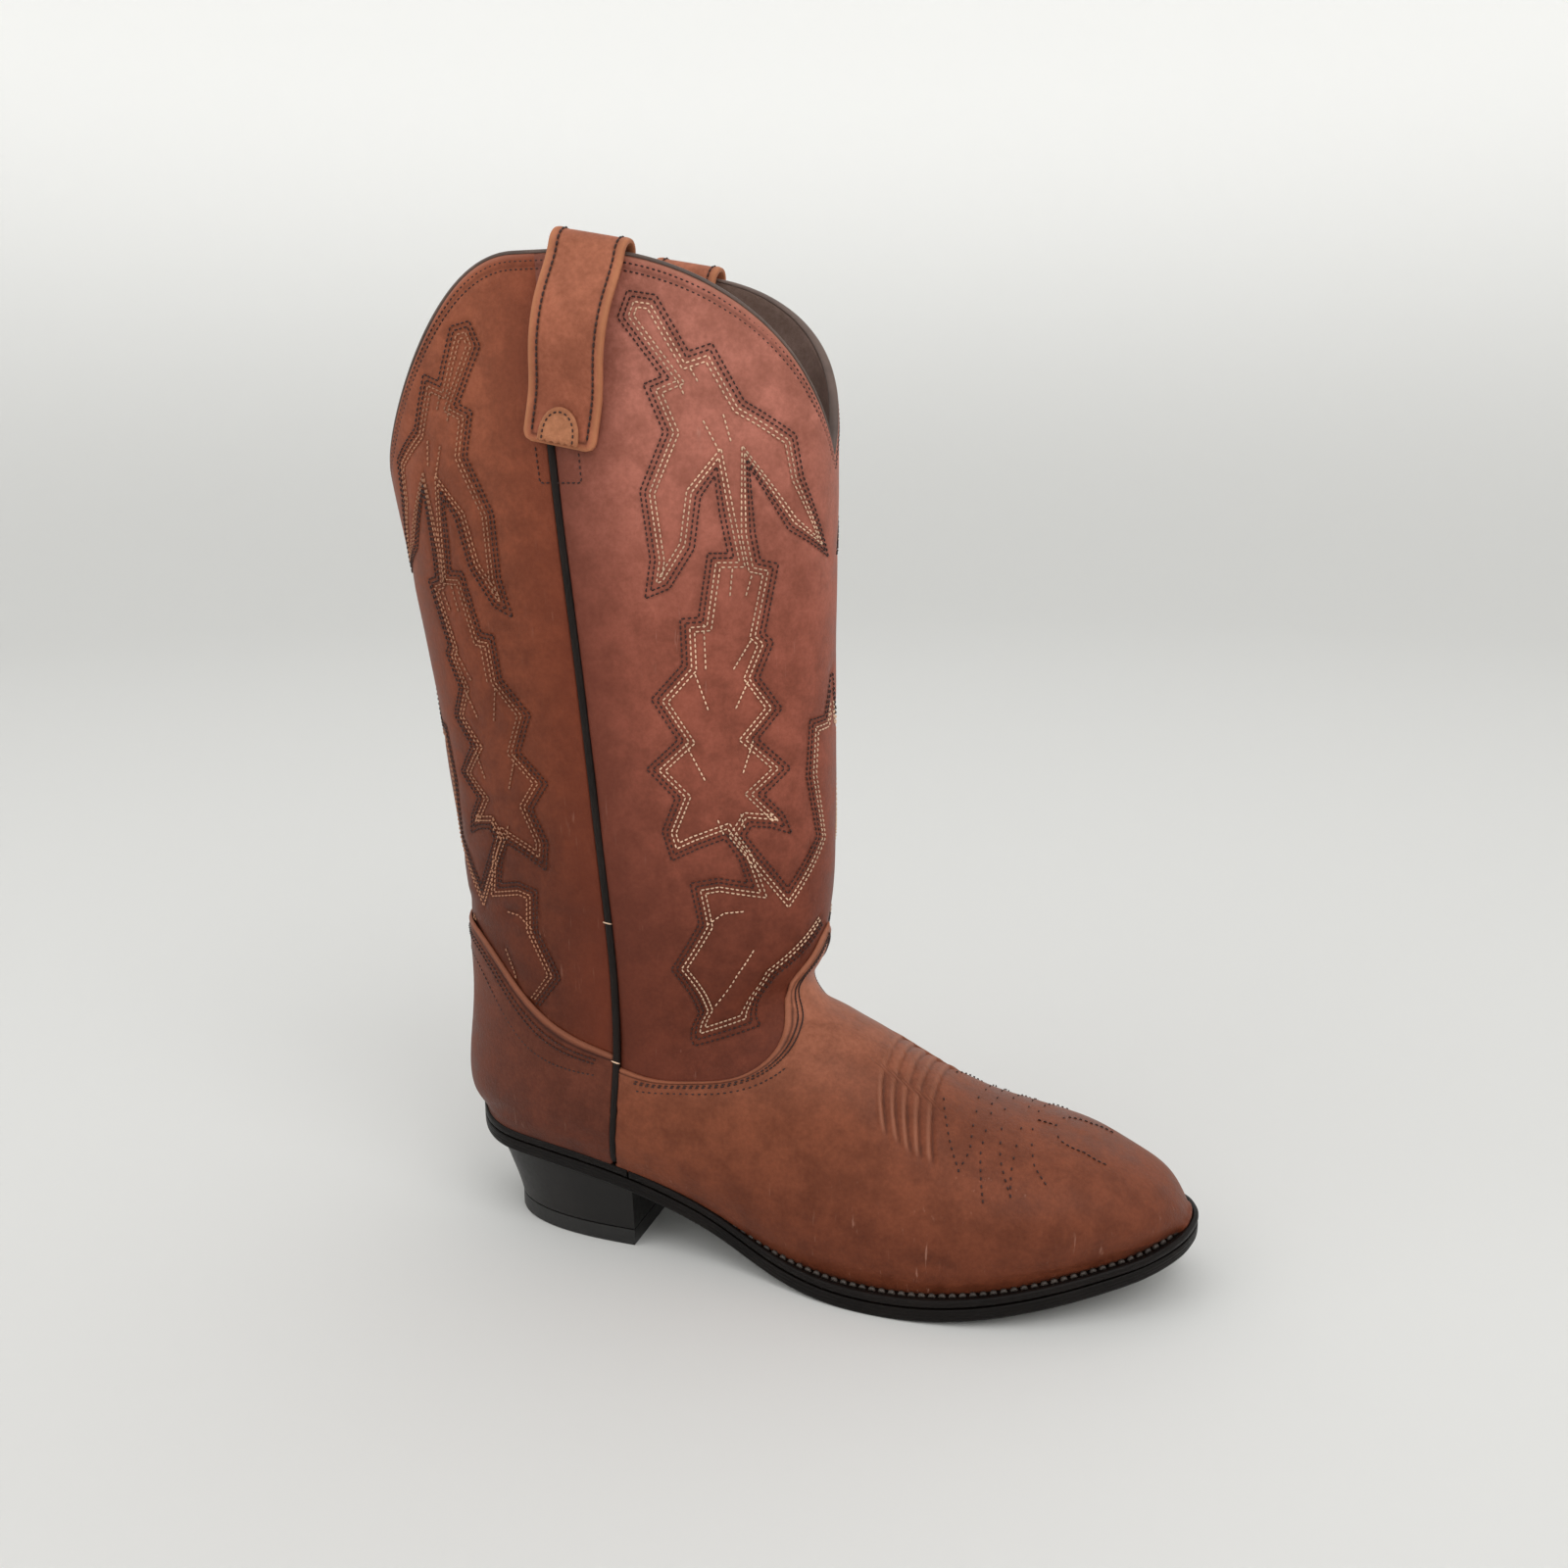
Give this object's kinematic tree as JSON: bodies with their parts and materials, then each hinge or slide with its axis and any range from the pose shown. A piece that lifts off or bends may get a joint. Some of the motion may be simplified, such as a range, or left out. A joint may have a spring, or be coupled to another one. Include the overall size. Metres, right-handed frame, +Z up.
{
  "type": "western boot",
  "caption": "Tall pull-on western boot for the right foot: scalloped shaft with pull straps, pointed toe, welted leather sole and slanted stacked heel.",
  "frame": {"origin": "on the floor, under the middle of the boot's bounding box", "axes": "+Z up, +X towards the toe, +Y towards the inner side of the foot"},
  "size_m": [0.3146, 0.1122, 0.3799],
  "materials": {
    "shaft_leather": "waxed pull-up leather, satin",
    "foot_leather": "waxed pull-up leather, satin, rubbed lighter at edges",
    "strap_leather": "waxed leather, satin, rubbed light",
    "lining_leather": "undyed lining leather, matt",
    "leather_board": "pressed leather board, matt",
    "black_trim": "black leather, satin",
    "black_sole_leather": "black waxed sole leather, satin",
    "black_rubber": "black rubber, matt",
    "cork": "ground cork, matt",
    "steel": "bright steel"
  },
  "bodies": {
    "root": {"front_shaft_panel": "shaft_leather", "back_shaft_panel": "shaft_leather", "vamp": "foot_leather", "counter_cover": "foot_leather", "front_shaft_lining": "lining_leather", "back_shaft_lining": "lining_leather", "vamp_lining": "lining_leather", "heel_counter_stiffener": "leather_board", "toe_box_stiffener": "leather_board", "top_binding": "black_trim", "lateral_side_piping": "black_trim", "medial_side_piping": "black_trim", "lateral_pull_strap": "strap_leather", "medial_pull_strap": "strap_leather", "lateral_strap_tab": "strap_leather", "medial_strap_tab": "strap_leather", "sock_lining": "lining_leather", "insole": "leather_board", "cork_filler": "cork", "steel_shank": "steel", "welt": "black_sole_leather", "heel_rand": "black_sole_leather", "outsole": "black_sole_leather", "heel_base": "black_sole_leather", "heel_lift": "black_rubber", "heel_nail_1": "steel", "lift_brad_1": "steel", "heel_nail_2": "steel", "lift_brad_2": "steel", "heel_nail_3": "steel", "lift_brad_3": "steel", "heel_nail_4": "steel", "lift_brad_4": "steel", "heel_nail_5": "steel", "lift_brad_5": "steel"}
  },
  "joints": []
}
